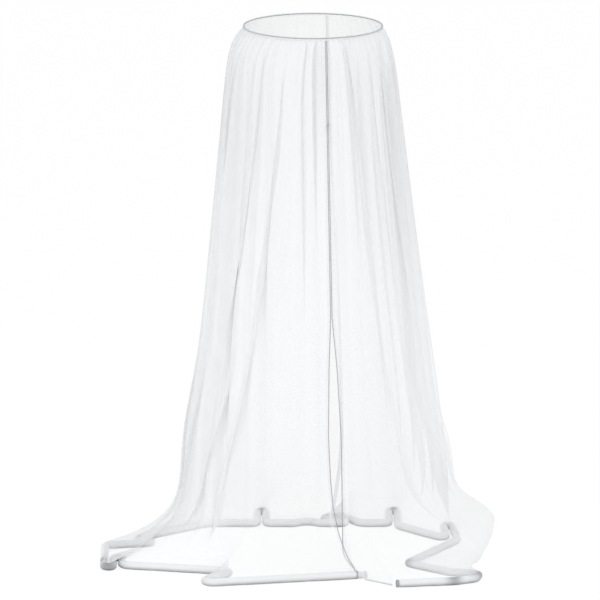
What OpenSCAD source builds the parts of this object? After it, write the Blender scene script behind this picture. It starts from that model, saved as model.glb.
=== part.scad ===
// Parasol mosquito net: a gathered opening with a rim cord, four mesh panels,
// a zipped door and a hem weighted by two water-filled tubes that lie on the floor.
// Millimetres, +Z up. The floor is z = 0. Every route is written from the rim's axis.

/* [Rim] */
// Inner diameter of the casing round the top opening
opening_d = 587; // [500:1:700]
// Height of the casing band
casing_h = 14; // [11:1:24]
// Thickness of the casing band, inside to outside
casing_t = 7.2; // [6.8:0.1:9]
// Diameter of the rim cord
rim_cord_d = 5.4; // [4:0.1:5.8]
// Play between the rim cord and its casing
rim_cord_play = 0.3; // [0.2:0.05:0.4]

/* [Net] */
// Height of the net from the floor to the top of the rim
net_h = 2300; // [1900:10:2800]
// Thickness of the mesh panels
cloth_t = 1.2; // [0.8:0.1:2]
// How much wider the net gets in each metre below the rim, measured on the radius
spread_per_m = 108; // [80:1:140]
// Swell of the net's radius just under the rim
shoulder = 50; // [20:1:70]
// Folds in each of the four panels
folds = 8; // [6:1:8]
// Depth of the folds halfway down
fold_depth = 62; // [20:1:80]
// How far the cloth billows out over the hem at the right of the door
billow = 200; // [0:5:220]

/* [Hem] */
// Outer diameter of the hem sleeve
sleeve_d = 34; // [28:0.5:35]
// Wall of the hem sleeve
sleeve_t = 1.2; // [0.8:0.1:2]
// Play between the water tube and the hem sleeve
tube_play = 0.3; // [0.2:0.05:0.6]
// Diameter of the bare hem across the door
sill_d = 7; // [4:0.5:10]

/* [Fillers] */
// Length of bare water tube that shows at the left of the door
bare_end_left = 32; // [25:1:40]
// Length of bare water tube that shows at the right of the door
bare_end_right = 6; // [4:1:20]
// Diameter of the filler plug's head
plug_head_d = 32; // [24:0.5:33]
// Thickness of the filler plug's head
plug_head_t = 11; // [6:0.5:16]
// Bore of the filler neck
neck_bore_d = 16; // [12:0.5:20]
// Wall of the filler neck
neck_t = 2; // [1.2:0.1:3]
// Length of the filler neck inside the tube
neck_len = 24; // [20:1:32]
// Length of the plug's shank
shank_len = 16; // [10:1:18]
// Play round the plug's shank
shank_play = 0.3; // [0.2:0.05:0.4]

/* [Zip] */
// Width of each zip tape
tape_w = 14; // [10:0.5:18]
// Thickness of the zip tapes and seam tapes
tape_t = 0.8; // [0.6:0.1:1.2]
// Diameter of one zip coil
coil_d = 1.8; // [1.4:0.1:2.4]
// Gap between the two coils
coil_gap = 2.2; // [1.8:0.1:3]
// Height of the slider's centre above the floor
slider_z = 1930; // [1300:5:2100]
// Length of the slider
slider_len = 12; // [9:0.5:16]
// Width of the slider
slider_w = 10.4; // [9:0.1:14]
// Thickness of each of the slider's two plates
slider_plate_t = 1.2; // [0.8:0.1:1.6]
// Running gap between the slider and what it runs on
slider_play = 0.3; // [0.2:0.05:0.5]
// Length of a pull tab
pull_len = 26; // [18:1:36]
// Width of a pull tab
pull_w = 6.5; // [5:0.5:9]
// Thickness of a pull tab
pull_t = 1.2; // [0.8:0.1:1.4]
// Diameter of the pin that a pull tab swings on
pull_pin_d = 1.4; // [1:0.1:1.6]

/* [Seams] */
// Width of the back seam tape
back_seam_w = 16; // [12:1:28]
// Width of the side seam tapes
side_seam_w = 12; // [8:1:20]
// Play between a seam tape and the cloth, which curves under it
seam_play = 0.9; // [0.4:0.1:0.9]

/* [Hidden] */

$fn = 48;
tiny = 0.01;
seat_gap = 0.3; // between soft pieces that lie on each other

// The rim's axis, measured from the middle of the space that the net stands on.
rim_axis = [84, 24];

// In the hem's tight folds two legs lie side by side, this far apart and turned this tightly.
fold_pitch = sleeve_d + 4;
fold_r = fold_pitch / 2 - 1;
// The first leg of each of these folds.
left_leg = -819;
back_left_leg = -242;
loop_leg = 450;
back_right_leg = 330;
right_leg = 566;

// ---- hem route -------------------------------------------------------------
// The centre line of the weight tube, seen from above, [x, y, bend radius] at each
// corner, clockwise from the door. The tube lies in loose folds as it was dropped.
hem_front_left = [
    [190, -580, 0], [-515, -750, 38], [-340, -510, 30], [left_leg, -383, 40],
    [left_leg, -236, fold_r], [left_leg - fold_pitch, -236, fold_r],
    [left_leg - fold_pitch, -420, fold_r], [left_leg - 2 * fold_pitch, -420, fold_r],
    [left_leg - 2 * fold_pitch, -240, 0],
];
hem_back_left = [
    [left_leg - 2 * fold_pitch, -240, 0], [left_leg - 2 * fold_pitch, 10, 30],
    [-670, 60, 25], [-760, 150, 25], [-460, 450, 110], [back_left_leg, 450, 25],
    [back_left_leg, 690, fold_r], [back_left_leg + fold_pitch, 690, fold_r],
    [back_left_leg + fold_pitch, 450, 25], [-75, 450, 50], [-25, 500, 45], [25, 450, 50],
    [85, loop_leg, 0],
];
hem_back_right = [
    [85, loop_leg, 0], [140, loop_leg, fold_r], [140, loop_leg + fold_pitch, fold_r],
    [45, 528, fold_r + 2], [62, 578, fold_r + 2], [150, 560, 30], [205, 450, 40],
    [back_right_leg, 450, 25], [back_right_leg, 700, fold_r],
    [back_right_leg + fold_pitch, 700, fold_r], [back_right_leg + fold_pitch + 2, 400, 50],
    [580, 130, fold_r + 4], [right_leg, 400, fold_r], [right_leg + fold_pitch, 400, fold_r],
    [right_leg + fold_pitch + 3, 360, 0],
];
hem_front_right = [
    [right_leg + fold_pitch + 3, 360, 0], [625, 120, 60], [405, -345, 28], [585, -525, 60],
    [712, -560, 30], [695, -650, 30], [605, -700, 30], [368, -745, 0],
];
// The bare hem across the door, from the right tube's end to the zip's foot.
sill_turn = [348, -724]; // clear of the right tube's plug
sill_end = [336, -712];
sill_start = [222, -603];

sleeve_r = sleeve_d / 2;
tube_r = sleeve_r - sleeve_t - tube_play;
sleeve_top = sleeve_d + seat_gap;
sill_top = sill_d + seat_gap;

// ---- routes: helpers ---------------------------------------------------------
function unit(v) = v / norm(v);
function flat(p) = [p[0], p[1]];
function heading(v) = atan2(v[1], v[0]);
function left_of(v) = [-v[1], v[0]];
// Signed turn at corner i of a route.
function turn(route, i) =
    let (a = flat(route[i]) - flat(route[i - 1]), b = flat(route[i + 1]) - flat(route[i]))
    atan2(a[0] * b[1] - a[1] * b[0], a * b);
// How much of a leg the bend at point i takes up.
function cut_back(route, i) =
    route[i][2] == 0 ? 0 : route[i][2] * tan(abs(turn(route, i)) / 2);
// The middle of the bend at corner i, on the centre line.
function bend_middle(route, i) =
    let (
        a = unit(flat(route[i]) - flat(route[i - 1])),
        b = unit(flat(route[i + 1]) - flat(route[i])),
        r = route[i][2]
    )
    r == 0 ? flat(route[i])
           : flat(route[i]) + unit(b - a) * r * (1 / cos(turn(route, i) / 2) - 1);

// A round bar or, with inner_r above 0, a pipe along a route that lies level.
module ring_section(outer_r, inner_r) {
    difference() {
        circle(outer_r);
        if (inner_r > 0) circle(inner_r);
    }
}
module leg(route, i, outer_r, inner_r) {
    from = flat(route[i]);
    dir = unit(flat(route[i + 1]) - from);
    start = i == 0 ? 0 : cut_back(route, i);
    end = norm(flat(route[i + 1]) - from)
        - (i == len(route) - 2 ? 0 : cut_back(route, i + 1));
    translate([from[0] + dir[0] * start, from[1] + dir[1] * start, sleeve_r])
        rotate([0, 90, heading(dir)])
            linear_extrude(end - start) ring_section(outer_r, inner_r);
}
// A bend is a hair slimmer than the legs and ends inside their walls, so that they join cleanly.
bend_slim = 0.1;
bend_lap = 0.6;
module bend(route, i, outer_r, inner_r) {
    r = route[i][2];
    angle = turn(route, i);
    a = unit(flat(route[i]) - flat(route[i - 1]));
    b = unit(flat(route[i + 1]) - flat(route[i]));
    side = sign(angle);
    centre = flat(route[i]) - a * cut_back(route, i) + left_of(a) * side * r;
    first = side > 0 ? heading(-left_of(a)) : heading(left_of(b));
    lap = bend_lap / r * 180 / PI;
    translate([centre[0], centre[1], sleeve_r])
        rotate(first - lap)
            rotate_extrude(angle = abs(angle) + 2 * lap)
                translate([r, 0])
                    ring_section(outer_r - bend_slim, inner_r > 0 ? inner_r + bend_slim : 0);
}
module pipe(route, outer_r, inner_r = 0) {
    for (i = [0 : len(route) - 2]) leg(route, i, outer_r, inner_r);
    for (i = [1 : len(route) - 2])
        if (route[i][2] > 0) bend(route, i, outer_r, inner_r);
}

// ---- the net's surface -------------------------------------------------------
col_step = 64;   // spacing of the columns of points along the hem
rows = 16;       // rows of points from the rim to the hem
rim_r = opening_d / 2 + casing_t / 2;
net_top = net_h - casing_h - seat_gap;

// The door's straight line, from the casing down to where its two edges part.
door_angle = -79.25; // where the door meets the rim
door_top = rim_r * [cos(door_angle), sin(door_angle)];
door_split = [78, -500];
split_z = 1120;
// Edges of the open door below the parting: [height, x], and their common [height, y].
door_left_x = [[34, 189], [90, 152], [185, 116], [295, 90], [420, 78], [600, 69], [900, 71], [split_z, 78]];
door_right_x = [[34, 189], [52, 168], [66, 146], [100, 124], [285, 122], [600, 118], [900, 100], [split_z, 78]];
door_y = [[34, -585], [split_z, -500]];
// Where the edges cross near the floor, the left one hangs in front of the right one.
cross_y = [[34, 1.4], [110, 9], [230, 9], [340, 0]];

function door_at(z) = // on the straight line, from its height
    let (k = (z - split_z) / (net_top - split_z))
    [door_split[0] + (door_top[0] - door_split[0]) * k,
     door_split[1] + (door_top[1] - door_split[1]) * k];
function door_edge(z, side) = // side -1 is the left edge, 1 the right edge
    z >= split_z ? door_at(z)
    : [lookup(z, side < 0 ? door_left_x : door_right_x),
       lookup(z, door_y) + side * lookup(z, cross_y)];

// Columns: [x, y, height of the panel's lower edge, panel number] along the hem.
function columns_of(route, panel, bottom) =
    [for (i = [0 : len(route) - 2])
        let (
            a = i == 0 ? flat(route[0]) : bend_middle(route, i),
            b = i == len(route) - 2 ? flat(route[i + 1]) : bend_middle(route, i + 1),
            n = max(1, round(norm(b - a) / col_step))
        )
        for (k = [0 : n - 1]) [each (a + (b - a) * k / n), bottom, panel]];
sill_foot = [205, -586]; // the last panel's foot, just past the zip
columns = [
    each columns_of(hem_front_left, 0, sleeve_top),
    each columns_of(hem_back_left, 1, sleeve_top),
    each columns_of(hem_back_right, 2, sleeve_top),
    each columns_of(hem_front_right, 3, sleeve_top),
    [each flat(hem_front_right[len(hem_front_right) - 1]), sleeve_top, 3],
    [each sill_turn, sleeve_top, 3],
    [each sill_end, sill_top, 3],
    [each ((sill_end + sill_start) / 2), sill_top, 3],
    [each sill_start, sill_top, 3],
    [each sill_foot, sleeve_top, 3],
];
last = len(columns) - 1;
// Distance along the hem up to each column.
function running(i = 0, sum = 0, out = []) =
    i > last ? out
    : running(i + 1,
              sum + (i == last ? 0 : norm(flat(columns[i + 1]) - flat(columns[i]))),
              [each out, sum]);
along = running();
first_of = [for (p = [0 : 3]) [for (i = [0 : last]) if (columns[i][3] == p) i][0], last];
// Place of column i across its panel, 0 to 1, and its angle round the rim.
function across(i, p) =
    (along[i] - along[first_of[p]]) / (along[first_of[p + 1]] - along[first_of[p]]);
seam_angles = [door_angle, -180, -282, -360, door_angle - 360];
function rim_angle(i, p) =
    seam_angles[p] + (seam_angles[p + 1] - seam_angles[p]) * across(i, p);
// The hem without its folds: a running mean over the columns on both sides.
mean_reach = 10;
function mean_hem(i) =
    let (n = 2 * mean_reach + 1)
    [for (a = [0, 1])
        [for (k = [-mean_reach : mean_reach]) columns[(i + k + last + 1) % (last + 1)][a]]
            * [for (k = [1 : n]) 1 / n]];

// How the rim's circle turns into the hem.
shoulder_drop = 60;  // the swell under the rim comes in over this drop
fold_drop = 350;     // the folds deepen over this drop
hem_rise = 150;      // the hem's route shapes the cloth up to about this height
hem_fold_rise = 80;  // the hem's own tight folds die out over this height
// The swell starts from nothing under the casing, where the cloth is sewn on.
function swell_share(z) = 1 - exp(-(net_top - z) / shoulder_drop);
function radius_at(z) =
    rim_r + shoulder * swell_share(z) + spread_per_m * (net_top - z) / 1000;
function hem_share(z, foot) = exp(-(z - foot) / hem_rise);
function fold_share(z, foot) = exp(-(z - foot) / hem_fold_rise);
function depth_at(z, foot) =
    fold_depth * (1 - exp(-(net_top - z) / fold_drop)) * (1 - hem_share(z, foot));
// Heights of the rows, closer together at the rim and at the hem.
function row_share(j) = (j / rows + (1 - cos(180 * j / rows)) / 2) / 2;
function row_z(i, j) = net_top - (net_top - columns[i][2]) * row_share(j);
drift = 34;         // the foot of the net stands to the right of the rim
shoulder_left = 13; // and the swell under the rim hangs to its left
function drift_at(z) = drift * (net_top - z) / net_top - shoulder_left * swell_share(z);
// The billow lies in the last panel: its height, its reach up and down, and its place across.
billow_z = 200;
billow_reach = 120;
billow_across = 0.27;
billow_half = 0.27;
billow_rise = 60; // it starts over this height above the hem
function billow_at(i, z) =
    let (u = (across(i, columns[i][3]) - billow_across) / billow_half)
    columns[i][3] < 3 || abs(u) > 1 ? 0
    : billow * pow(cos(90 * u), 2) * exp(-pow((z - billow_z) / billow_reach, 2));

function raw_point(i, z) =
    let (
        p = columns[i][3],
        foot = columns[i][2],
        angle = rim_angle(i, p),
        fold = (1 - cos(360 * folds * across(i, p))) / 2,
        r = radius_at(z) - depth_at(z, foot) * fold,
        ring = [r * cos(angle) + drift_at(z), r * sin(angle)],
        mean = mean_hem(i),
        w = hem_share(z, foot)
    )
    ring * (1 - w) + mean * w + (flat(columns[i]) - mean) * fold_share(z, foot)
        + unit(mean) * billow_at(i, z) * (1 - exp(-pow((z - foot) / billow_rise, 2)));

// Both ends of the cloth are drawn to the zip tapes.
door_reach = 5; // columns that the zip draws along
panel_edge = coil_gap / 2 + tape_w + seat_gap + cloth_t / 2;
function door_pull(i, z) =
    let (
        side = i < last / 2 ? -1 : 1,
        end = side < 0 ? 0 : last,
        near = max(0, 1 - abs(i - end) / door_reach),
        h = max(z, columns[end][2])
    )
    near == 0 ? [0, 0]
    : (door_edge(h, side) + [side * panel_edge, 0] - raw_point(end, h)) * pow(near, 2);
function net_point(i, z) = raw_point(i, z) + door_pull(i, z);

grid = [for (i = [0 : last]) [for (j = [0 : rows]) let (z = row_z(i, j)) [each net_point(i, z), z]]];
// Outward direction, level, at column i and row j.
function outward(i, j) =
    let (t = grid[min(i + 1, last)][j] - grid[max(i - 1, 0)][j])
    unit([-t[1], t[0], 0]);
out = [for (i = [0 : last]) [for (j = [0 : rows]) outward(i, j)]];

// A closed wall between two grids of points, each a list of columns from top to bottom.
function quad(a, b, c, d) = [[a, b, c], [a, c, d]];
module wall(front, back) {
    nc = len(front);
    nr = len(front[0]);
    n = nc * nr;
    faces = [
        for (c = [0 : nc - 2], r = [0 : nr - 2])
            let (a = c * nr + r)
            each [each quad(a, a + 1, a + nr + 1, a + nr),
                  each quad(n + a, n + a + nr, n + a + nr + 1, n + a + 1)],
        for (r = [0 : nr - 2])
            let (b = (nc - 1) * nr + r)
            each [each quad(r, n + r, n + r + 1, r + 1),
                  each quad(b, b + 1, n + b + 1, n + b)],
        for (c = [0 : nc - 2])
            let (a = c * nr, b = c * nr + nr - 1)
            each [each quad(a, a + nr, n + a + nr, n + a),
                  each quad(b, n + b, n + b + nr, b + nr)],
    ];
    polyhedron([each each front, each each back], faces);
}
module net_panel(p) {
    cols = [first_of[p] : first_of[p + 1]];
    wall([for (i = cols) [for (j = [0 : rows]) grid[i][j] + out[i][j] * cloth_t / 2]],
         [for (i = cols) [for (j = [0 : rows]) grid[i][j] - out[i][j] * cloth_t / 2]]);
}
// A point of the cloth beside column i, on side s: a share u of the way to the next column
// and v of the way from row j to the next. Each cell of the cloth is split into two flat
// triangles, from its first column and row to its last.
function cloth_point(i, s, j, u, v) =
    let (a = grid[i][j], b = grid[i + s][j], c = grid[i][j + 1], d = grid[i + s][j + 1])
    s < 0 ? (u + v <= 1 ? a + u * (b - a) + v * (c - a) : b + v * (d - b) + (1 - u) * (c - d))
          : (v >= u ? a + v * (c - a) + u * (d - c) : a + u * (b - a) + v * (d - b));
// Outward, level, from the cloth on side s of column i, or from the seam itself where s is 0.
function outward_beside(i, s, j) =
    s == 0 ? out[i][j] : let (d = unit(grid[i + s][j] - grid[i][j])) s * [-d[1], d[0], 0];
// A tape on the outside of the net along column i. It is creased along the seam, and each
// half has a point wherever its edge crosses from one triangle of the cloth to the next.
module seam_tape(i, width) {
    near = cloth_t / 2 + seam_play;
    function share(s, j) = s == 0 ? 0 : width / 2 / norm(grid[i + s][j] - grid[i][j]);
    levels = [
        for (j = [0 : rows - 1])
            let (
                right = share(1, j) / (1 - share(1, j + 1) + share(1, j)),
                left = (1 - share(-1, j)) / (1 + share(-1, j + 1) - share(-1, j))
            )
            each [[j, 0], [j, min(left, right)], [j, max(left, right)]],
        [rows - 1, 1],
    ];
    function strip(off) = [for (s = [-1, 0, 1]) [for (l = levels)
        let (j = l[0], v = l[1], u = share(s, j) * (1 - v) + share(s, j + 1) * v)
        cloth_point(i, s, j, u, v)
            + (outward_beside(i, s, j) * (1 - v) + outward_beside(i, s, j + 1) * v) * off]];
    wall(strip(near + tape_t), strip(near));
}

// ---- zip -----------------------------------------------------------------------
zip_up = unit([door_top[0] - door_split[0], door_top[1] - door_split[1], net_top - split_z]);
zip_lean = -asin(zip_up[1]);
zip_roll = atan2(zip_up[0], zip_up[2]);
// Puts its children on the zip's straight line at a height: x across, -y out, z up the line.
module on_zip(z) {
    p = door_at(z);
    translate([p[0], p[1], z]) rotate([zip_lean, zip_roll, 0]) children();
}
coil_r = coil_d / 2;
coil_x = coil_gap / 2 + coil_r;         // a coil's centre, from the zip's line
coil_y = -(tape_t / 2 + coil_r + tiny); // the coils lie on the tape's outer face
plate_out = coil_y - coil_r - slider_play;
plate_in = tape_t / 2 + slider_play;
zip_end_gap = 2; // from the zip's ends to the casing and the hem sleeve
zip_foot = sleeve_top + zip_end_gap;
zip_head = net_top - zip_end_gap;
top_stop_drop = 8; // from the casing down to the middle of the top stop
// The tapes bend at the same heights as the cloth beside them.
function zip_z(j) = min(zip_head, max(zip_foot, row_z(0, j)));

module zip_tape(side) {
    function strip(off) = [for (e = side > 0 ? [1, 0] : [0, 1]) [for (j = [0 : rows])
        let (z = zip_z(j), p = door_edge(z, side))
        [p[0] + side * (coil_gap / 2 + e * tape_w), p[1] + off, z]]];
    wall(strip(-tape_t / 2), strip(tape_t / 2));
}
module zip_coil(side) {
    sides = 6;
    ring = [for (j = [0 : rows]) let (z = zip_z(j), p = door_edge(z, side))
        [for (k = [0 : sides - 1])
            [p[0] + side * coil_x + coil_r * cos(360 * k / sides),
             p[1] + coil_y + coil_r * sin(360 * k / sides), z]]];
    faces = [
        for (j = [0 : rows - 1], k = [0 : sides - 1])
            let (a = j * sides + k, b = j * sides + (k + 1) % sides)
            each quad(a, b, b + sides, a + sides),
        [for (k = [sides - 1 : -1 : 0]) k],
        [for (k = [0 : sides - 1]) rows * sides + k],
    ];
    polyhedron([each each ring], faces);
}
// A flat plate with rounded corners, lying across the zip line's y.
corner_cut = 1.2;
module plate(w, l, thick, y) {
    translate([0, y, 0]) rotate([90, 0, 0]) linear_extrude(thick)
        intersection() {
            square([w, l], center = true);
            circle(r = norm([w, l]) / 2 - corner_cut);
        }
}
ear_t = 1;
ear_r = 1.7;
eye_r = pull_pin_d / 2 + 1;
eye_w = 3.4;
eye_play = 0.06;
pin_off = eye_r + slider_play; // from a plate's face to the pull's pin
pin_out_y = plate_out - slider_plate_t - pin_off;
pin_in_y = plate_in + slider_plate_t + pin_off;
// Two ears and the pin between them, standing off a plate's face.
module pull_holder(face_y, pin_y) {
    depth = abs(pin_y - face_y);
    for (s = [-1, 1]) translate([s * (eye_w / 2 + slider_play + ear_t / 2), 0, 0]) {
        translate([-ear_t / 2, pin_y, 0]) rotate([0, 90, 0]) cylinder(r = ear_r, h = ear_t);
        translate([-ear_t / 2, min(pin_y, face_y), -ear_r]) cube([ear_t, depth, 2 * ear_r]);
    }
    w = eye_w + 2 * slider_play + 2 * ear_t;
    translate([-w / 2, pin_y, 0]) rotate([0, 90, 0]) cylinder(d = pull_pin_d, h = w);
}
module slider_body() {
    post_w = coil_gap - 2 * slider_play;
    post_len = slider_len * 0.4;
    lip_t = 1;
    lip_len = slider_len * 0.6;
    lip_y = -tape_t / 2 - slider_play;
    plate(slider_w, slider_len, slider_plate_t, plate_out);
    plate(slider_w, slider_len, slider_plate_t, plate_in + slider_plate_t);
    translate([-post_w / 2, plate_out, 0]) cube([post_w, plate_in - plate_out, post_len]);
    for (s = [-1, 1])
        translate([s * (slider_w / 2 - lip_t / 2) - lip_t / 2, plate_out, -lip_len / 2])
            cube([lip_t, lip_y - plate_out, lip_len]);
    pull_holder(plate_out - slider_plate_t, pin_out_y);
    pull_holder(plate_in + slider_plate_t, pin_in_y);
}
// A pull tab hanging from its pin, which lies along x at the origin.
module pull_tab() {
    shoulder_gap = 0.6; // from the ears to the tab's wide part
    neck = ear_r + slider_play + shoulder_gap;
    hole_r = pull_w * 0.22;
    difference() {
        union() {
            rotate([0, 90, 0]) cylinder(r = eye_r, h = eye_w, center = true);
            translate([-eye_w / 2, -pull_t / 2, -neck - tiny]) cube([eye_w, pull_t, neck]);
            translate([0, pull_t / 2, 0]) rotate([90, 0, 0]) linear_extrude(pull_t)
                difference() {
                    union() {
                        translate([-pull_w / 2, -pull_len + pull_w / 2])
                            square([pull_w, pull_len - pull_w / 2 - neck]);
                        translate([0, -pull_len + pull_w / 2]) circle(d = pull_w);
                    }
                    translate([0, -pull_len + pull_w / 2]) circle(r = hole_r);
                }
        }
        rotate([0, 90, 0]) cylinder(r = pull_pin_d / 2 + eye_play, h = eye_w + 1, center = true);
    }
}
module top_stop() {
    x = coil_x + coil_r + slider_play;
    y = coil_y - coil_r - slider_play;
    h = 4;
    wall_t = 0.8;
    translate([-x - wall_t, y - wall_t, -h / 2]) cube([2 * (x + wall_t), wall_t, h]);
    for (s = [-1, 1])
        translate([s * (x + wall_t / 2) - wall_t / 2, y, -h / 2])
            cube([wall_t, -tape_t / 2 - tiny - y, h]);
}

// ---- hem and fillers -------------------------------------------------------------
// Puts its children at a tube's end: z points out of the end, along the tube.
module at_end(p, toward) {
    dir = unit(flat(p) - flat(toward));
    translate([p[0], p[1], sleeve_r]) rotate([0, 90, heading(dir)]) children();
}
neck_r = neck_bore_d / 2 + neck_t;
flange_t = 2;
function from(list, first) = [for (i = [first : len(list) - 1]) list[i]];
function but_last(list) = [for (i = [0 : len(list) - 2]) list[i]];
// A route whose end is moved out along its own line.
function longer_start(route, more) =
    let (dir = unit(flat(route[0]) - flat(route[1])))
    [[each (flat(route[0]) + dir * more), 0], each from(route, 1)];
function reversed(list) = [for (i = [len(list) - 1 : -1 : 0]) list[i]];
left_route = longer_start(
    [each but_last(hem_front_left), each from(hem_back_left, 1)], bare_end_left);
right_route = longer_start(
    reversed([each but_last(hem_back_right), each from(hem_front_right, 1)]), bare_end_right);

module water_tube(route) {
    difference() {
        pipe(route, tube_r);
        at_end(route[0], route[1]) translate([0, 0, -neck_len - tube_play])
            cylinder(r = neck_r + tube_play, h = neck_len + 1);
    }
}
module filler_neck(route) {
    at_end(route[0], route[1]) difference() {
        union() {
            translate([0, 0, -neck_len]) cylinder(r = neck_r, h = neck_len + flange_t);
            cylinder(r = tube_r, h = flange_t);
        }
        translate([0, 0, -neck_len - 1]) cylinder(d = neck_bore_d, h = neck_len + flange_t + 2);
    }
}
module filler_plug(route) {
    at_end(route[0], route[1]) {
        translate([0, 0, flange_t + seat_gap]) cylinder(d = plug_head_d, h = plug_head_t);
        translate([0, 0, flange_t + seat_gap - shank_len])
            cylinder(r = neck_bore_d / 2 - shank_play, h = shank_len + tiny);
    }
}
module end_binding() {
    band_w = 7;
    band_t = 1.2;
    floor_gap = 5;
    half = 50; // of the block that cuts it off above the floor
    r = sleeve_r + seat_gap;
    intersection() {
        at_end(hem_front_left[0], hem_front_left[1]) translate([0, 0, -band_w - 1])
            difference() {
                cylinder(r = r + band_t, h = band_w);
                translate([0, 0, -1]) cylinder(r = r, h = band_w + 2);
            }
        translate([hem_front_left[0][0] - half, hem_front_left[0][1] - half, floor_gap])
            cube([2 * half, 2 * half, 2 * sleeve_d]);
    }
}
module sill() {
    dir = sill_end - sill_start;
    translate([sill_start[0], sill_start[1], sill_d / 2]) rotate([0, 90, heading(dir)])
        cylinder(d = sill_d, h = norm(dir));
}

// ---- sub-parts ---------------------------------------------------------------------
mesh_white = [0.93, 0.94, 0.95, 0.85];
tape_white = [0.86, 0.87, 0.88];
hem_white = [0.95, 0.95, 0.96];
tube_white = [0.88, 0.9, 0.92];
cord_grey = [0.3, 0.31, 0.33];
metal_grey = [0.62, 0.63, 0.65];

module placed() { translate([rim_axis[0], rim_axis[1], 0]) children(); }

module net_front_left() { color(mesh_white) placed() net_panel(0); }
module net_back_left() { color(mesh_white) placed() net_panel(1); }
module net_back_right() { color(mesh_white) placed() net_panel(2); }
module net_front_right() { color(mesh_white) placed() net_panel(3); }
module seam_left() { color(tape_white) placed() seam_tape(first_of[1], side_seam_w); }
module seam_back() { color(tape_white) placed() seam_tape(first_of[2], back_seam_w); }
module seam_right() { color(tape_white) placed() seam_tape(first_of[3], side_seam_w); }
module top_casing() {
    color(hem_white) placed() rotate_extrude() difference() {
        translate([opening_d / 2, net_h - casing_h]) square([casing_t, casing_h]);
        translate([rim_r, net_h - casing_h / 2]) circle(d = rim_cord_d + 2 * rim_cord_play);
    }
}
module rim_cord() {
    color(cord_grey) placed() rotate_extrude()
        translate([rim_r, net_h - casing_h / 2]) circle(d = rim_cord_d);
}
module zip_tape_left() { color(tape_white) placed() zip_tape(-1); }
module zip_tape_right() { color(tape_white) placed() zip_tape(1); }
module zip_coil_left() { color(metal_grey) placed() zip_coil(-1); }
module zip_coil_right() { color(metal_grey) placed() zip_coil(1); }
module zip_top_stop() { color(metal_grey) placed() on_zip(net_top - top_stop_drop) top_stop(); }
module zip_slider() { color(metal_grey) placed() on_zip(slider_z) slider_body(); }
module zip_pull_outer() {
    color(metal_grey) placed() on_zip(slider_z) translate([0, pin_out_y, 0]) pull_tab();
}
module zip_pull_inner() { // hangs plumb from the leaning slider
    color(metal_grey) placed() on_zip(slider_z) translate([0, pin_in_y, 0])
        rotate([-zip_lean, 0, 0]) pull_tab();
}
module zip_end_binding() { color(cord_grey) placed() end_binding(); }
module door_sill() { color(hem_white) placed() sill(); }
module hem_sleeve_front_left() {
    color(hem_white) placed() pipe(hem_front_left, sleeve_r, sleeve_r - sleeve_t);
}
module hem_sleeve_back_left() {
    color(hem_white) placed() pipe(hem_back_left, sleeve_r, sleeve_r - sleeve_t);
}
module hem_sleeve_back_right() {
    color(hem_white) placed() pipe(hem_back_right, sleeve_r, sleeve_r - sleeve_t);
}
module hem_sleeve_front_right() {
    color(hem_white) placed() pipe(hem_front_right, sleeve_r, sleeve_r - sleeve_t);
}
module water_tube_left() { color(tube_white) placed() water_tube(left_route); }
module water_tube_right() { color(tube_white) placed() water_tube(right_route); }
module filler_neck_left() { color(cord_grey) placed() filler_neck(left_route); }
module filler_neck_right() { color(cord_grey) placed() filler_neck(right_route); }
module filler_plug_left() { color(tube_white) placed() filler_plug(left_route); }
module filler_plug_right() { color(tube_white) placed() filler_plug(right_route); }

net_front_left();
net_back_left();
net_back_right();
net_front_right();
seam_left();
seam_back();
seam_right();
top_casing();
rim_cord();
zip_tape_left();
zip_tape_right();
zip_coil_left();
zip_coil_right();
zip_top_stop();
zip_slider();
zip_pull_outer();
zip_pull_inner();
zip_end_binding();
door_sill();
hem_sleeve_front_left();
hem_sleeve_back_left();
hem_sleeve_back_right();
hem_sleeve_front_right();
water_tube_left();
water_tube_right();
filler_neck_left();
filler_neck_right();
filler_plug_left();
filler_plug_right();
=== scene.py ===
import math

import bmesh
import bpy
import numpy as np
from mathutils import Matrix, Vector


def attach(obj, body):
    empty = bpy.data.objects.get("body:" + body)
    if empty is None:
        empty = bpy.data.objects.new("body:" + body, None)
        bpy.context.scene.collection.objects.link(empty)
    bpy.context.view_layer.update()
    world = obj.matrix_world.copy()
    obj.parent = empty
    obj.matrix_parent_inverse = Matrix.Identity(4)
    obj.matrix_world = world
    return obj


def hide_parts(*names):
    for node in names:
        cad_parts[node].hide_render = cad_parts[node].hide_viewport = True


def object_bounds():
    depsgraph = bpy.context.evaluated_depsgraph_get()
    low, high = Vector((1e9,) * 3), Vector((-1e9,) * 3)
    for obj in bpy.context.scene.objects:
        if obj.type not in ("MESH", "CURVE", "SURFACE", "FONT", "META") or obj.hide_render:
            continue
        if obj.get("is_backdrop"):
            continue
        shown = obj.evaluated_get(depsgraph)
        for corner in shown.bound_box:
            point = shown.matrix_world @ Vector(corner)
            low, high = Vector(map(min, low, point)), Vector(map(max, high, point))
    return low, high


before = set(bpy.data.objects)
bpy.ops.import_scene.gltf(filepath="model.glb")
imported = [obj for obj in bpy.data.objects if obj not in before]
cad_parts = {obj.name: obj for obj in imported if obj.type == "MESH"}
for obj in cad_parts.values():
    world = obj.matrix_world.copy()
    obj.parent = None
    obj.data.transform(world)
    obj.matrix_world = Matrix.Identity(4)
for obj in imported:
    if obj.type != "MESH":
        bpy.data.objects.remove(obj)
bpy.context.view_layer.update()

# ---- Room ---------------------------------------------------
# A white studio floor under an even white sky, with one broad lamp high at the right
# and a weaker one at the left. Floor and sky show pure white; the floor keeps a faint
# shadow where something rests on it.
CAMERA_ASIDE, CAMERA_BACK, CAMERA_HIGH, CAMERA_TILT = 0.0556, 60, 13.312, 78.493
camera_data = bpy.data.cameras.new("camera")
camera_data.lens = 855.4
camera_data.sensor_width = 36
camera_data.clip_end = 400
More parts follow.
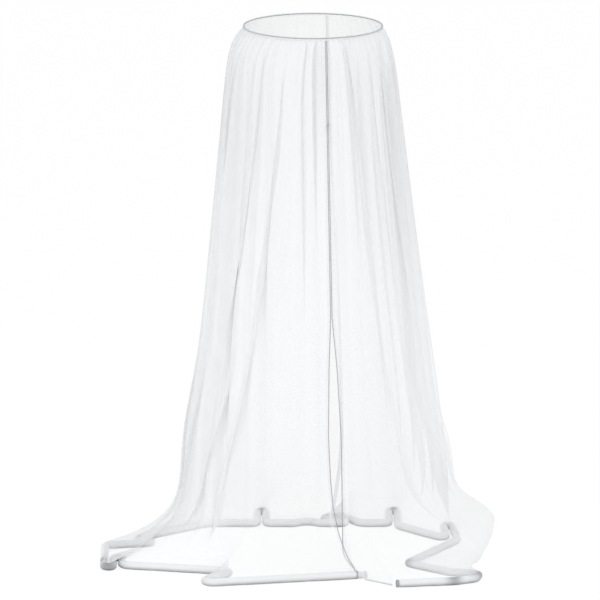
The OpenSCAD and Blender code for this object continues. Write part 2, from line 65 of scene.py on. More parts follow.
camera = bpy.data.objects.new("camera", camera_data)
rim_x, rim_y = 0.084, 0.024
camera.location = (rim_x - CAMERA_ASIDE, rim_y - CAMERA_BACK, CAMERA_HIGH)
camera.rotation_euler = (math.radians(CAMERA_TILT), 0, 0)
bpy.context.scene.collection.objects.link(camera)
bpy.context.scene.camera = camera
bpy.context.scene.view_settings.view_transform = "Standard"
# The cloth hangs in many see-through layers, one behind another.
bpy.context.scene.cycles.transparent_max_bounces = 96


class Value:
    """A shader socket that can be used in sums."""

    def __init__(self, shader, socket):
        self.shader, self.socket = shader, socket

    def sum(self, operation, a, b):
        return self.shader.node("ShaderNodeMath", {"operation": operation}, [a, b])

    def __add__(self, other):
        return self.sum("ADD", self, other)

    def __sub__(self, other):
        return self.sum("SUBTRACT", self, other)

    def __rsub__(self, other):
        return self.sum("SUBTRACT", other, self)

    def __mul__(self, other):
        return self.sum("MULTIPLY", self, other)

    def __pow__(self, other):
        return self.sum("POWER", self, other)

    __radd__, __rmul__ = __add__, __mul__


class Shader:
    """The node tree of a material or of the world."""

    def __init__(self, owner):
        owner.use_nodes = True
        self.owner, self.tree = owner, owner.node_tree
        self.tree.nodes.clear()

    def node(self, kind, settings=None, sockets=(), out=0):
        """Adds a node with its settings and its sockets' values or links."""
        node = self.tree.nodes.new(kind)
        for name, value in (settings or {}).items():
            setattr(node, name, value)
        pairs = sockets.items() if isinstance(sockets, dict) else enumerate(sockets)
        for key, value in pairs:
            if isinstance(value, Value):
                self.tree.links.new(value.socket, node.inputs[key])
            elif value is not None:
                node.inputs[key].default_value = value
        return Value(self, node.outputs[out] if node.outputs else None)


def greater(shader, a, b):
    return shader.node("ShaderNodeMath", {"operation": "MAXIMUM"}, [a, b])


world = bpy.data.worlds.new("studio")
bpy.context.scene.world = world
sky = Shader(world)
seen_directly = sky.node("ShaderNodeLightPath", out="Is Camera Ray")
mirrored = sky.node("ShaderNodeLightPath", out="Is Glossy Ray")
through = sky.node("ShaderNodeLightPath", out="Is Transmission Ray")
shown = greater(sky, greater(sky, seen_directly, mirrored), through)
lit = sky.node("ShaderNodeBackground", {}, {"Color": (0.98, 0.99, 1, 1), "Strength": 0.88})
white = sky.node("ShaderNodeBackground", {}, {"Color": (1, 1, 1, 1), "Strength": 1})
sky.node("ShaderNodeOutputWorld", {}, [sky.node("ShaderNodeMixShader", {}, [shown, lit, white])])

FLOOR_SIZE, FLOOR_DROP = 60, 0.0005
bpy.ops.object.select_all(action="DESELECT")
bpy.ops.mesh.primitive_plane_add(size=FLOOR_SIZE, location=(0, 0, -FLOOR_DROP))
floor = bpy.context.object
floor.name = "studio_floor"
ground = Shader(bpy.data.materials.new("studio_white"))
direct = ground.node("ShaderNodeLightPath", out="Is Camera Ray")
# The part of the floor that takes shadows, and how bright it is where nothing shades it.
shadow_share, chalk_grey, chalk_level = 0.12, 0.9, 0.83
glow_level = (1 - shadow_share * chalk_level) / (1 - shadow_share)
glow = ground.node("ShaderNodeEmission", {}, {"Color": (1, 1, 1, 1), "Strength": glow_level})
chalk = ground.node("ShaderNodeBsdfDiffuse", {}, {"Color": (chalk_grey,) * 3 + (1,)})
ground.node(
    "ShaderNodeOutputMaterial", {},
    [ground.node("ShaderNodeMixShader", {}, [direct * (1 - shadow_share), chalk, glow])],
)
floor.data.materials.append(ground.owner)
floor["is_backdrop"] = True


def lamp(name, place, size, watts):
    """A square lamp that points at the middle of the net."""
    light = bpy.data.lights.new(name, "AREA")
    light.size, light.energy = size, watts
    holder = bpy.data.objects.new(name, light)
    holder.location = place
    aim = Vector((rim_x, rim_y, 1.1)) - Vector(place)
    holder.rotation_euler = aim.to_track_quat("-Z", "Y").to_euler()
    bpy.context.scene.collection.objects.link(holder)


lamp("lamp_right", (3.6, -4.2, 4.6), 3.0, 76)
lamp("lamp_left", (-4.4, -3.0, 3.0), 3.0, 60)

# ---- Hem route ----------------------------------------------
# The line on which the weighted hem lies on the floor, seen from above, from the left
# side of the door clockwise round to its right side. Corners are [x, y, bend radius]
# in millimetres from the rim's axis.
MM = 0.001
RIM_AXIS = np.array([rim_x, rim_y])
hem_front_left = [
    [190, -580, 0], [-515, -750, 38], [-340, -510, 30], [-819, -383, 40],
    [-819, -236, 18], [-857, -236, 18], [-857, -420, 18], [-895, -420, 18],
    [-895, -240, 0],
]
hem_back_left = [
    [-895, -240, 0], [-895, 10, 30], [-670, 60, 25], [-760, 150, 25],
    [-460, 450, 110], [-242, 450, 25], [-242, 690, 18], [-204, 690, 18],
    [-204, 450, 25], [-75, 450, 50], [-25, 500, 45], [25, 450, 50], [85, 450, 0],
]
hem_back_right = [
    [85, 450, 0], [140, 450, 18], [140, 488, 18], [45, 528, 20], [62, 578, 20],
    [150, 560, 30], [205, 450, 40], [330, 450, 25], [330, 700, 18],
    [368, 700, 18], [370, 400, 50], [580, 130, 22], [566, 400, 18],
    [604, 400, 18], [607, 360, 0],
]
hem_front_right = [
    [607, 360, 0], [625, 120, 60], [405, -345, 28], [585, -525, 60],
    [712, -560, 30], [695, -650, 30], [605, -700, 30], [368, -745, 0],
]
sill_route = [[368, -745, 0], [348, -724, 0], [336, -712, 0], [222, -603, 0], [205, -586, 0]]
BEND_STEPS = 14


def turned(v):
    return np.array([-v[1], v[0]])


def rounded(route):
    """The route with its corners rounded, as points in metres."""
    corners = [np.array(c[:2], float) * MM for c in route]
    points = [corners[0]]
    for i in range(1, len(route) - 1):
        before, here, after = corners[i - 1 : i + 2]
        a = (here - before) / np.linalg.norm(here - before)
        b = (after - here) / np.linalg.norm(after - here)
        angle = math.atan2(a[0] * b[1] - a[1] * b[0], a @ b)
        radius = route[i][2] * MM
        if radius == 0 or abs(angle) < 0.01:
            points.append(here)
            continue
        start = here - a * radius * math.tan(abs(angle) / 2)
        centre = start + turned(a) * math.copysign(radius, angle)
        for t in np.linspace(0, angle, BEND_STEPS):
            arm = start - centre
            points.append(centre + arm * math.cos(t) + turned(arm) * math.sin(t))
    return np.array(points + [corners[-1]])


def lengths(points):
    """How far along a line each of its points lies."""
    return np.concatenate([[0], np.cumsum(np.linalg.norm(np.diff(points, axis=0), axis=1))])


def spaced(points, step):
    """The same line with its points a step apart."""
    run = lengths(points)
    at = np.linspace(0, run[-1], max(2, int(round(run[-1] / step)) + 1))
    return np.stack([np.interp(at, run, points[:, k]) for k in range(points.shape[1])], 1)


routes = (hem_front_left, hem_back_left, hem_back_right, hem_front_right, sill_route)
parts = [rounded(route) for route in routes]

# ---- Net ----------------------------------------------------
# Four panels of fine white polyester mesh, sewn side to side and gathered into the rim.
# They fall in loose folds from the opening and widen to the hem, and the zip of the door
# joins the two front ones. Each panel is one sheet.
NET_TOP, NET_H = 2.2857, 2.3
SLEEVE_TOP, SILL_TOP = 0.0343, 0.0073
RIM_R = 0.2971
DOOR_ANGLE = -79.25
FOLDS = 8
COLUMNS, ROWS = 2400, 120

seam_at = np.cumsum([0] + [lengths(p)[-1] for p in parts])
hem_line = np.concatenate([parts[0]] + [p[1:] for p in parts[1:]])
hem = spaced(hem_line, lengths(hem_line)[-1] / (COLUMNS - 1))
hem_length = seam_at[-1]
along = np.linspace(0, hem_length, COLUMNS)
panel_ends = np.array([seam_at[0], seam_at[1], seam_at[2], seam_at[3], seam_at[5]])
panel = np.clip(np.searchsorted(panel_ends, along, side="right") - 1, 0, 3)
across = (along - panel_ends[panel]) / (panel_ends[panel + 1] - panel_ends[panel])
seam_angles = np.radians([DOOR_ANGLE, -180, -282, -360, DOOR_ANGLE - 360])
rim_angle = np.interp(along, panel_ends, seam_angles)
turn_rate = (seam_angles[panel + 1] - seam_angles[panel]) / (2 * math.pi * FOLDS)
sill_run = lengths(parts[4]) + seam_at[4]
foot = np.interp(along, sill_run, [SLEEVE_TOP, SLEEVE_TOP, SILL_TOP, SILL_TOP, SLEEVE_TOP])

wave_number = 2 * math.pi * np.fft.fftfreq(COLUMNS, hem_length / COLUMNS)
hem_waves = np.fft.fft(hem[:, 0] + 1j * hem[:, 1])


def softened(width):
    """The hem's line with everything narrower than width smoothed away."""
    line = np.fft.ifft(hem_waves * np.exp(-((wave_number * width) ** 2) / 2))
    return np.stack([line.real, line.imag], 1)


dice = np.random.default_rng(7)


def ripple(low, high, slide):
    """A smooth random wave round the net, with low to high crests, that drifts as it falls."""
    counts = np.arange(low, high + 1)
    phase = dice.uniform(0, 2 * math.pi, len(counts))
    drift = dice.normal(0, slide, len(counts))
    size = dice.uniform(0.5, 1, len(counts))
    size /= np.sqrt((size**2).sum() / 2)

    def height(fall):
        angles = 2 * math.pi * np.outer(along / hem_length, counts) + phase + drift * fall
        return (np.cos(angles) * size).sum(1)

    return height


fold_shift = ripple(5, 17, 0.5)
fold_size = ripple(6, 21, 0.8)
broad = ripple(7, 15, 1.2)
fine = ripple(40, 76, 1.6)
small = ripple(110, 160, 2.0)

MEAN_WIDTH = 0.37
mean_hem = softened(MEAN_WIDTH)
seam_phase = 2 * math.pi * FOLDS * across
# 1 at the far left of the net, -1 at the far right, 0 at its front and back.
leftness = -np.cos(rim_angle)
sideness = np.abs(leftness)
behind = np.clip(np.sin(rim_angle), 0, 1)


def growing(distance, over):
    """From 0 at no distance to nearly 1 at three times over."""
    return 1 - np.exp(-np.maximum(distance, 0) / over)


def bump_at(distance, width):
    """1 at no distance, and nearly 0 at twice the width."""
    return np.exp(-((distance / width) ** 2))


# Pleats in which the cloth lies three layers deep: place along the hem at the rim and at
# the floor, cloth taken up, the drop over which it forms and the drop at which it ends.
pleats = [
    (0.54, 1.12, 0.150, 0.30, 9.0), (0.30, 0.26, 0.050, 0.02, 1.1),
    (0.14, 0.10, 0.040, 0.02, 0.8), (0.86, 1.30, 0.070, 0.40, 9.0),
    (1.02, 1.45, 0.130, 0.20, 9.0), (1.42, 1.72, 0.120, 0.30, 9.0),
    (1.78, 1.98, 0.110, 0.20, 9.0), (2.15, 2.30, 0.120, 0.30, 9.0),
    (2.55, 2.62, 0.100, 0.30, 9.0), (3.00, 2.95, 0.080, 0.20, 2.0),
    (3.60, 3.55, 0.060, 0.30, 1.4), (4.25, 4.30, 0.060, 0.30, 1.4),
    (4.90, 5.00, 0.080, 0.30, 9.0), (5.35, 5.40, 0.090, 0.30, 9.0),
    (5.85, 5.75, 0.090, 0.30, 9.0), (6.30, 6.15, 0.050, 0.25, 9.0),
    (6.58, 6.40, 0.040, 0.30, 9.0), (6.97, 6.60, 0.070, 0.20, 9.0),
    (7.10, 7.02, 0.040, 0.02, 0.9),
]
LAYER_GAP, PLEAT_REACH = 0.006, 0.30


def pleated(fall, up):
    """How far the pleats draw the cloth along and lift it, at one drop below the rim."""
    drawn, lifted = np.zeros(COLUMNS), np.zeros(COLUMNS)
    for at_rim, at_floor, amount, forms, ends in pleats:
        place = at_rim + (at_floor - at_rim) * (fall / NET_TOP) ** 1.3
        size = amount * growing(fall, forms) * math.exp(-((fall / ends) ** 4))
        size = size * growing(up, 0.12)
        gap = along - place
        near = bump_at(gap, PLEAT_REACH)
        layers = LAYER_GAP * np.tanh(gap / (0.5 * amount)) * near
        drawn = drawn - size * np.tanh(gap / (0.34 * amount)) * near
        lifted = lifted + layers * np.minimum(1, size / 0.04)
    return drawn, lifted


# The line to which the spare cloth slumps at the right: places along the hem, and x and y.
slump_along = [5.61, 5.85, 6.05, 6.30, 6.50, 6.70, 6.80, 6.95]
slump_x = [0.620, 0.700, 0.745, 0.745, 0.725, 0.710, 0.695, 0.640]
slump_y = [0.360, 0.150, -0.060, -0.270, -0.420, -0.540, -0.600, -0.680]
slump_edge = np.stack([np.interp(along, slump_along, v) for v in (slump_x, slump_y)], 1)
slump_top = np.interp(along, [5.9, 6.1, 6.3, 6.5, 6.8], [0.14, 0.14, 0.11, 0.08, 0.06])
slump = np.interp(along, [5.62, 5.72, 5.95, 6.70, 6.90, 6.98], [0, 0.1, 1, 1, 0.1, 0])

# The cloth spreads over a shoulder below the rim and then widens evenly. Near the floor it
# leaves its round course for the hem's line, and the hem's narrow kinks show only there.
SHOULDER, SHOULDER_DROP, FLARE = 0.05, 0.06, 0.108
LEAN_TOP, LEAN_FOOT = -0.013, 0.034
HEM_REACH, HEM_REACH_LEFT, KINK_REACH, CALM_REACH = 0.125, 0.045, 0.075, 0.12
FOLD_DEPTH, FOLD_DRIFT, FOLD_FORMS, FOLD_TURN = 0.062, 0.9, 0.35, 0.3
WAVER, GATHER_DEPTH, GATHER_LEAST, CRUMPLE = 0.008, 0.0022, 0.0004, 0.0008


def draped(row_share):
    """One row of the net, from its share of the way down.

    Gives its x and y in metres from the rim's axis, and its heights."""
    z = NET_TOP - (NET_TOP - foot) * row_share
    fall = NET_TOP - z
    up = z - foot
    hem_share = np.exp(-up / (HEM_REACH - HEM_REACH_LEFT * leftness))
    kink_share = np.exp(-up / KINK_REACH)
    mid_fall = float(fall.mean())
    drawn, lifted = pleated(mid_fall, up)
    phase = seam_phase + FOLD_DRIFT * fold_shift(mid_fall) * growing(mid_fall, 0.4)
    depth = FOLD_DEPTH * (0.04 + 0.96 * growing(fall, FOLD_FORMS)) * (1 - hem_share)
    depth = depth * np.clip(0.8 + 0.3 * fold_size(mid_fall), 0.1, 1.4)
    depth = depth * (0.22 + 0.95 * sideness**2 + 0.15 * behind)
    radius = RIM_R + SHOULDER * growing(fall, SHOULDER_DROP) + FLARE * fall
    radius = radius - depth * (1 - np.cos(phase)) / 2 + lifted
    waver = WAVER * growing(fall, 0.7) * (1 - hem_share) * growing(up, CALM_REACH)
    radius = radius + waver * broad(mid_fall)
    gather = GATHER_DEPTH * growing(fall, 0.03) * np.exp(-((fall / 0.7) ** 2)) + GATHER_LEAST
    radius = radius + gather * fine(mid_fall) + CRUMPLE * np.exp(-fall / 0.08) * small(mid_fall)
    angle = np.interp(along + drawn, along, rim_angle)
    fold_turn = FOLD_TURN * turn_rate * np.sin(phase)
    angle = angle + fold_turn * growing(fall, 0.15) * (1 - hem_share)
    across_x = LEAN_TOP * growing(fall, SHOULDER_DROP) + LEAN_FOOT * fall / NET_TOP
    ring = np.stack([radius * np.cos(angle) + across_x, radius * np.sin(angle)], 1)
    near_hem = softened(0.004 + 0.4 * max(0.0, float(up.mean())))
    w = hem_share[:, None]
    point = ring * (1 - w) + mean_hem * w + (near_hem - mean_hem) * kink_share[:, None]
    # The cloth bellies out low at the front right and at the left.
    outward = mean_hem / np.linalg.norm(mean_hem, axis=1)[:, None]
    place = np.clip((across - 0.27) / 0.3, -1, 1)
    swell = 0.07 * bump_at(z - 0.45, 0.20) * np.cos(math.pi / 2 * place) ** 2 * (panel == 3)
    swell = swell + 0.035 * bump_at(z - 0.5, 0.3) * np.clip(leftness, 0, 1)
    point = point + outward * swell[:, None]
    # Spare cloth slumps over the hem at the right and lies beyond it.
    slack = np.where(z < slump_top, 1, bump_at(z - slump_top, 0.15))
    slack = slack * (1 - bump_at(up, 0.02)) * slump
    bulge = 0.04 * bump_at(z - 0.16, 0.06) * slump
    slack = slack[:, None]
    return point * (1 - slack) + slump_edge * slack + outward * bulge[:, None], z


# The zip is straight above SPLIT_Z. Below it the door's sides part, each along its own
# line: heights and places to the right of the rim's axis.
SPLIT_Z = 1.12
door_turn = math.radians(DOOR_ANGLE)
door_top = RIM_R * np.array([math.cos(door_turn), math.sin(door_turn)])
door_split = np.array([0.078, -0.5])
left_z = np.array([34, 90, 185, 295, 420, 600, 900, 1120]) * MM
left_x = np.array([189, 152, 116, 90, 78, 69, 71, 78]) * MM
right_z = np.array([34, 52, 66, 100, 285, 600, 900, 1120]) * MM
right_x = np.array([189, 168, 146, 124, 122, 118, 100, 78]) * MM
SMOOTH_POINTS, SMOOTH_SPAN = 400, 41


def smooth_steps(z, heights, values):
    """Values between heights, joined by a smooth line instead of straight pieces."""
    fine_z = np.linspace(heights[0], heights[-1], SMOOTH_POINTS)
    line = np.interp(fine_z, heights, values)
    kernel = np.hanning(SMOOTH_SPAN)
    half = SMOOTH_SPAN // 2
    padded = np.concatenate([np.full(half, line[0]), line, np.full(half, line[-1])])
    line = np.convolve(padded, kernel / kernel.sum(), "valid")
    return np.interp(z, fine_z, line)


def door_edge(z, side):
    """The door's edge at a height: side -1 is the left one, 1 the right one."""
    share = (z - SPLIT_Z) / (NET_TOP - SPLIT_Z)
    straight = door_split + (door_top - door_split) * share[:, None]
    heights, places = (left_z, left_x) if side < 0 else (right_z, right_x)
    x = smooth_steps(z, heights, places)
    apart = np.interp(z, [0.034, 0.11, 0.23, 0.34], [0.0014, 0.009, 0.009, 0])
    y = np.interp(z, [0.034, SPLIT_Z], [-0.585, -0.5]) + side * apart
    return np.where((z >= SPLIT_Z)[:, None], straight, np.stack([x, y], 1))


share = np.arange(ROWS + 1) / ROWS
row_shares = (share + (1 - np.cos(math.pi * share)) / 2) / 2
net = np.zeros((COLUMNS, ROWS + 1, 3))
for j, row_share in enumerate(row_shares):
    net[:, j, :2], net[:, j, 2] = draped(row_share)

# Both sides of the door are drawn to the zip.
DRAW_REACH, CLOTH_EDGE = 0.32, 0.0135
for side, end in ((-1, 0), (1, COLUMNS - 1)):
    gap = np.abs(along - along[end])
    near = np.clip(1 - gap / DRAW_REACH, 0, 1) ** 2
    edge = door_edge(np.maximum(net[end, :, 2], foot[end]), side) + [side * CLOTH_EDGE, 0]
    net[:, :, :2] += (edge - net[end, :, :2])[None] * near[:, None, None]
net[:, :, :2] += RIM_AXIS


def add_object(name, points, faces, uv=None):
    """A mesh object from arrays of points and four-cornered faces, with a UV per corner."""
    mesh = bpy.data.meshes.new(name)
    points, faces = np.asarray(points, np.float32), np.asarray(faces, np.int32)
    mesh.vertices.add(len(points))
    mesh.vertices.foreach_set("co", points.ravel())
    mesh.loops.add(faces.size)
    mesh.loops.foreach_set("vertex_index", faces.ravel())
    mesh.polygons.add(len(faces))
    mesh.polygons.foreach_set("loop_start", np.arange(0, faces.size, 4, dtype=np.int32))
    mesh.polygons.foreach_set("use_smooth", np.ones(len(faces), bool))
    if uv is not None:
        layer = mesh.uv_layers.new(name="cloth")
        layer.data.foreach_set("uv", np.asarray(uv, np.float32).ravel())
    mesh.update()
    mesh.validate()
    thing = bpy.data.objects.new(name, mesh)
    bpy.context.scene.collection.objects.link(thing)
    return thing


def run_along(grid, axis):
    """The distance from the first point, measured along one axis of a grid of points."""
    step = np.linalg.norm(np.diff(grid, axis=axis), axis=2)
    start = np.zeros_like(np.take(step, [0], axis))
    return np.concatenate([start, np.cumsum(step, axis)], axis)


def sheet_object(name, grid, side=1):
    """An open sheet from a grid of points, with its UV measured along the cloth in metres."""
    columns, rows = grid.shape[:2]
    a = (np.arange(columns - 1)[:, None] * rows + np.arange(rows - 1)[None]).ravel()
    faces = np.stack([a, a + rows, a + rows + 1, a + 1], 1)[:, ::side]
    uv = np.stack([run_along(grid, 0), run_along(grid, 1)], 2).reshape(-1, 2)
    return add_object(name, grid.reshape(-1, 3), faces, uv[faces.ravel()])


def plait(distance, pitch, sharpness):
    """1 on a thread and 0 in the hole beside it, along a distance in metres."""
    turns = distance * (2 * math.pi / pitch)
    wave = distance.shader.node("ShaderNodeMath", {"operation": "COSINE"}, [turns])
    return (wave * 0.5 + 0.5) ** sharpness


def cloth_axes(shader):
    """The two distances along a cloth, from its own UV map."""
    uv = shader.node("ShaderNodeUVMap", {"uv_map": "cloth"})
    return uv, [shader.node("ShaderNodeSeparateXYZ", {}, [uv], out=k) for k in (0, 1)]


def object_height(shader):
    place = shader.node("ShaderNodeTexCoord", out="Object")
    return shader.node("ShaderNodeSeparateXYZ", {}, [place], out=2)


def noise(shader, where, scale, detail, distortion=None):
    """Cloudy noise around 0.5, with about scale clouds to the metre."""
    return shader.node("ShaderNodeTexNoise", {}, {
        "Vector": where, "Scale": scale, "Detail": detail, "Distortion": distortion})


def bumped(shader, strength, depth, height):
    sockets = {"Strength": strength, "Distance": depth, "Height": height}
    return shader.node("ShaderNodeBump", {}, sockets)


def fading(shader, value, start, end, at_start, at_end):
    """Goes from at_start to at_end while value goes from start to end."""
    return shader.node("ShaderNodeMapRange", {}, [value, start, end, at_start, at_end])


def painted(shader, name):
    """An amount that the piece's own points carry."""
    return shader.node("ShaderNodeAttribute", {"attribute_name": name}, out="Fac")


# The numbers of the Mix node's sockets for colours.
FIRST_COLOUR, SECOND_COLOUR, MIXED_COLOUR = 6, 7, 2


def mixed(shader, factor, first, second):
    """A colour between two, each a socket or its red, green and blue."""
    first, second = [c if isinstance(c, Value) else c + (1,) for c in (first, second)]
    sockets = {"Factor": factor, FIRST_COLOUR: first, SECOND_COLOUR: second}
    return shader.node("ShaderNodeMix", {"data_type": "RGBA"}, sockets, out=MIXED_COLOUR)


def finished(shader, sockets):
    surface = shader.node("ShaderNodeBsdfPrincipled", {}, sockets)
    shader.node("ShaderNodeOutputMaterial", {}, [surface])
    return shader.owner


def gauze(name, pitch, thin, thick, dark, light):
    """See-through mesh: thin is its cover in the holes and thick on the threads."""
    shader = Shader(bpy.data.materials.new(name))
    uv, axes = cloth_axes(shader)
    weave = greater(shader, plait(axes[0], pitch, 4), plait(axes[1], pitch, 4))
    uneven = noise(shader, uv, 7.0, 3.0)
    gathering = painted(shader, "gathering")
    opacity = (weave * (thick - thin) + uneven * 0.07 + (thin - 0.035)) * gathering
    # Painted shade: the cloth's colour is darkened towards the foot, where it hangs single, and
    # towards the top.
    height = object_height(shader)
    painted_foot_shade = fading(shader, height - uneven * 0.1, 0.12, 0.55, 0.85, 0.0)
    painted_height_shade = fading(shader, height, 1.1, 2.1, 0.0, 0.9)
    clamped = {"operation": "MULTIPLY", "use_clamp": True}
    painted_single_cloth_shade = shader.node("ShaderNodeMath", clamped, [painted_foot_shade, 2 - gathering])
    clean = mixed(shader, uneven, dark, light)
    return finished(shader, {
        "Base Color": mixed(shader, painted_single_cloth_shade + painted_height_shade, clean, (0.80, 0.805, 0.81)),
        "Roughness": 0.85, "Alpha": opacity, "Normal": bumped(shader, 0.25, 0.0004, weave),
        "Specular IOR Level": 0.2, "Sheen Weight": 0.1,
    })


def set_amounts(piece, name, amounts):
    """Gives a piece an amount at each of its points, for its material to read."""
    layer = piece.data.attributes.new(name, "FLOAT", "POINT")
    layer.data.foreach_set("value", np.asarray(amounts, np.float32).ravel())


fine_mesh = gauze("fine_mesh", 0.0022, 0.115, 0.345, (0.875, 0.883, 0.891), (0.895, 0.903, 0.911))
depth_down = NET_TOP - net[:, :, 2]
height_up = net[:, :, 2] - foot[:, None]
# How many gathers, too fine to model, lie on each other at each point. They are close at
# the rim, and down the left side as far as a long pleat.
pleat_edge = np.interp(depth_down, [0, 1.2, 1.55, 1.85, 2.3], [0.44, 0.46, 0.575, 0.61, 0.62])
side_gathers = np.interp(
    leftness[:, None] / pleat_edge,
    [0, 0.3, 0.65, 0.9, 1.05, 1.3], [0, 0.12, 0.35, 0.65, 1.45, 1.9])
side_gathers = side_gathers * np.interp(leftness, [0.8, 0.93, 1], [1, 0.6, 0.15])[:, None]
side_gathers = side_gathers + np.interp(
    -leftness, [0, 0.3, 0.5, 0.7, 0.8, 0.9, 1], [0, 0.15, 0.3, 0.45, 0.35, 0.1, 0])[:, None]
rim_gathers = (1.85 - 1.55 * np.sin(rim_angle))[:, None] * np.exp(-depth_down / 0.6)
streaks = np.stack([0.7 * fine(fall) + 0.7 * small(fall) for fall in depth_down.mean(0)], 1)
gathers = 1 + rim_gathers * (1 + 0.22 * streaks) + side_gathers * growing(depth_down, 0.27)
# The cloth is thicker where it is sewn to the hem, and double at the door's turned edges.
HEM_SEAM_H, DOOR_TURN_W = 0.012, 0.035
gathers = gathers + 0.6 * (height_up < HEM_SEAM_H)
from_door = np.minimum(along, hem_length - along)
gathers = gathers + 0.9 * (from_door < DOOR_TURN_W)[:, None]

panel_names = ["net_front_left", "net_back_left", "net_back_right", "net_front_right"]
inner_seams = [int(round(p / hem_length * (COLUMNS - 1))) for p in panel_ends[1:4]]
splits = [0] + inner_seams + [COLUMNS - 1]
for k, node in enumerate(panel_names):
    own = slice(splits[k], splits[k + 1] + 1)
    piece = sheet_object(node + "_mesh", net[own])
    set_amounts(piece, "gathering", gathers[own])
    piece.data.materials.append(fine_mesh)
    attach(piece, "net")
    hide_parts(node)

# ---- Seam tapes ---------------------------------------------
# Narrow woven tapes that cover the three seams between the panels, from the rim to the
# hem. They are sewn on outside, with a row of stitches along one edge.
TAPE_OFF, TAPE_H = 0.0011, 2.35
NEAR_COLUMNS = 60


def woven_tape(name, cover, dark, light, stitch_grey, edge_cover=0.0):
    """Sheer twill tape with a row of stitches 1.6 mm in from its first edge.

    edge_cover is added to its cover along that edge, which is woven more closely, and in step
    with it the colour there is painted dark grey as painted shade."""
    shader = Shader(bpy.data.materials.new(name))
    uv, axes = cloth_axes(shader)
    twill = plait(axes[0] + axes[1], 0.0012, 1)
    uneven = noise(shader, uv, 40.0, 2.0)
    row = shader.node("ShaderNodeMath", {"operation": "COMPARE"}, [axes[0], 0.0016, 0.0005])
    stitch = row * plait(axes[1], 0.0028, 0.6)
    close_weave_and_painted_shade = fading(shader, axes[0], 0.0045, 0.0060, edge_cover, 0.0)
    colour = mixed(shader, twill * 0.5 + uneven * 0.5, dark, light)
    colour = mixed(shader, stitch, colour, (stitch_grey,) * 3)
    # Along the close edge the colour is painted dark grey, as painted shade beside the coil.
    return finished(shader, {
        "Base Color": mixed(shader, close_weave_and_painted_shade, colour, (0.30, 0.31, 0.32)), "Roughness": 0.8,
        "Alpha": stitch * (1 - cover) * 0.6 + (uneven * 0.1 + (cover - 0.05)) + close_weave_and_painted_shade,
        "Normal": bumped(shader, 0.4, 0.0003, twill + stitch), "Specular IOR Level": 0.2,
    })


seam_cloth = woven_tape("seam_tape", 0.5, (0.74, 0.75, 0.76), (0.82, 0.83, 0.84), 0.62)


def tape_on_net(column, width, strands=7):
    """A strip that lies on the outside of the net along one of its columns."""
    offsets = np.linspace(-width / 2, width / 2, strands)
    near = net[column - NEAR_COLUMNS : column + NEAR_COLUMNS + 1]
    strip = np.zeros((strands, near.shape[1], 3))
    for j in range(near.shape[1]):
        row = near[:, j]
        run = lengths(row)
        run -= run[NEAR_COLUMNS]
        at = np.stack([np.interp(offsets, run, row[:, k]) for k in range(3)], 1)
        way = np.gradient(at[:, :2], axis=0)
        way /= np.linalg.norm(way, axis=1)[:, None]
        at[:, :2] += np.stack([-way[:, 1], way[:, 0]], 1) * TAPE_OFF
        strip[:, j] = at
    return strip


seam_widths = {"seam_left": 0.012, "seam_back": 0.016, "seam_right": 0.012}
for (node, width), column in zip(seam_widths.items(), inner_seams):
    piece = sheet_object(node + "_tape", tape_on_net(column, width))
    piece.data.materials.append(seam_cloth)
    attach(piece, "net")
    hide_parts(node)

# ---- Rim ----------------------------------------------------
# The net's top edge is sewn between the two walls of a bias strip, and the strip forms a
# tunnel for a thin grey cord of three twisted strands that keeps the opening round.
CASING_LOW, CASING_HIGH, CASING_HALF = 2.2847, 2.2997, 0.0033
CASING_COLUMNS = 1500
# The strip's arch over the cord: across, from -1 to 1, and up, from 0 to 1.
arch = np.array([
    (-1.0, 0.00), (-1.0, 0.25), (-1.0, 0.50), (-0.97, 0.72), (-0.82, 0.88), (-0.5, 0.97),
    (0.0, 1.00), (0.5, 0.97), (0.82, 0.88), (0.97, 0.72), (1.0, 0.50), (1.0, 0.25), (1.0, 0.00),
])
turn_round = np.linspace(2 * math.pi, 0, CASING_COLUMNS)
pucker_counts, pucker_sizes = (131, 163, 197, 89), (0.11, 0.1, 0.08, 0.08)
pucker = sum(
    size * np.cos(count * turn_round + phase)
    for count, size, phase in zip(pucker_counts, pucker_sizes, dice.uniform(0, 6, 4))
)
casing = np.zeros((CASING_COLUMNS, len(arch), 3))
for j, (side, height) in enumerate(arch):
    radius = RIM_R + side * CASING_HALF * (1 + pucker * (1 - height))
    casing[:, j, 0] = rim_x + radius * np.cos(turn_round)
    casing[:, j, 1] = rim_y + radius * np.sin(turn_round)
    casing[:, j, 2] = CASING_LOW + (CASING_HIGH - CASING_LOW) * height


def welded(thing):
    """Joins the points that lie on each other, where a piece closes on itself."""
    shape = bmesh.new()
    shape.from_mesh(thing.data)
    bmesh.ops.remove_doubles(shape, verts=shape.verts, dist=1e-6)
    shape.to_mesh(thing.data)
    shape.free()


piece = sheet_object("top_casing_strip", casing)
welded(piece)
set_amounts(piece, "gathering", np.ones(len(piece.data.vertices)))
piece.data.materials.append(
    gauze("casing_cloth", 0.0009, 0.16, 0.30, (0.78, 0.79, 0.80), (0.84, 0.85, 0.86)))
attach(piece, "net")
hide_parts("top_casing")


def ringed(points_of_ring, closed):
    """Four-cornered faces round rings of points, one ring after another."""
    rings, sides = points_of_ring.shape[:2]
    last = rings if closed else rings - 1
    i = np.arange(last)[:, None]
    k = np.arange(sides)[None]
    a, b = i * sides + k, i * sides + (k + 1) % sides
    step = np.where(i + 1 < rings, sides, sides - rings * sides)
    return np.stack([a, b, b + step, a + step], 2).reshape(-1, 4)


